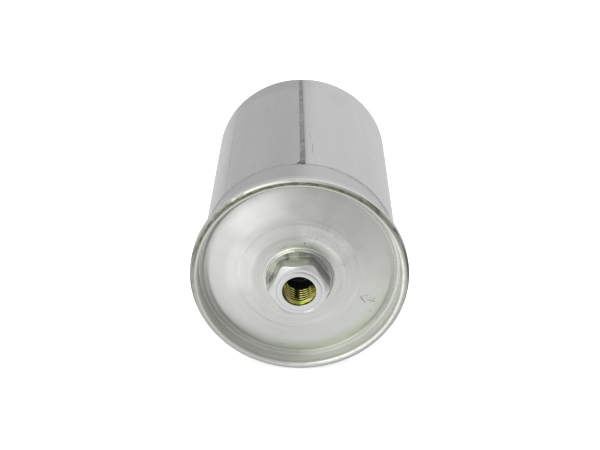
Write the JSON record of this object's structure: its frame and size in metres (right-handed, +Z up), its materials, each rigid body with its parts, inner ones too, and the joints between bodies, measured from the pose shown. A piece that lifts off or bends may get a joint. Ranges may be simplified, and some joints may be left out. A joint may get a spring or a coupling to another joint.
{
  "type": "inline fuel filter",
  "caption": "Sealed inline fuel filter: drawn can with rolled sleeve, crimped dished outlet cover, hex port bosses with threaded inserts, pleated paper element inside.",
  "frame": {"origin": "centre of the bounding box, on the filter's own axis, midway between the two port faces", "axes": "+Y along the filter's axis from the outlet (crimped cover) to the inlet, so fuel leaves toward -Y; +Z up, on the side where the sleeve's edges meet; +X to the right, seen from the outlet"},
  "size_m": [0.08, 0.132, 0.08],
  "materials": {
    "sleeve_sheet": "satin rolled sheet, fine streaks along the body",
    "can_steel": "zinc-silver coated drawn steel, satin",
    "cover_steel": "zinc-silver coated pressed steel, satin, worn olive on the rim's crest",
    "fitting_steel": "zinc-silver coated machined steel, satin",
    "yellow_zinc": "yellow chromated zinc on steel, half gloss",
    "seam_compound": "matt sealing compound",
    "seam_filler": "dark grainy adhesive line",
    "seal_rubber": "matt fuel-proof rubber",
    "filter_paper": "resin-treated filter paper",
    "tinplate": "bright tinned sheet",
    "potting": "grey plastisol",
    "moulded_nylon": "natural nylon",
    "gauze": "woven nylon gauze",
    "pressed_steel": "oiled pressed steel",
    "spring_steel": "drawn spring wire"
  },
  "bodies": {
    "root": {"outer_sleeve": "sleeve_sheet", "canister": "can_steel", "outlet_cover": "cover_steel", "outlet_fitting": "fitting_steel", "inlet_fitting": "fitting_steel", "outlet_thread_insert": "yellow_zinc", "inlet_thread_insert": "yellow_zinc", "seam_compound": "seam_compound", "sleeve_seam_filler": "seam_filler", "outlet_fitting_seal": "seal_rubber", "inlet_fitting_seal": "seal_rubber", "outlet_grommet": "seal_rubber", "pleated_paper": "filter_paper", "paper_seam_clip": "tinplate", "centre_tube": "tinplate", "element_outlet_cap": "tinplate", "element_inlet_cap": "tinplate", "outlet_cap_potting": "potting", "inlet_cap_potting": "potting", "strainer_cage": "moulded_nylon", "strainer_gauze": "gauze", "support_plate": "pressed_steel", "spring_seat": "pressed_steel", "element_spring": "spring_steel"}
  },
  "joints": []
}
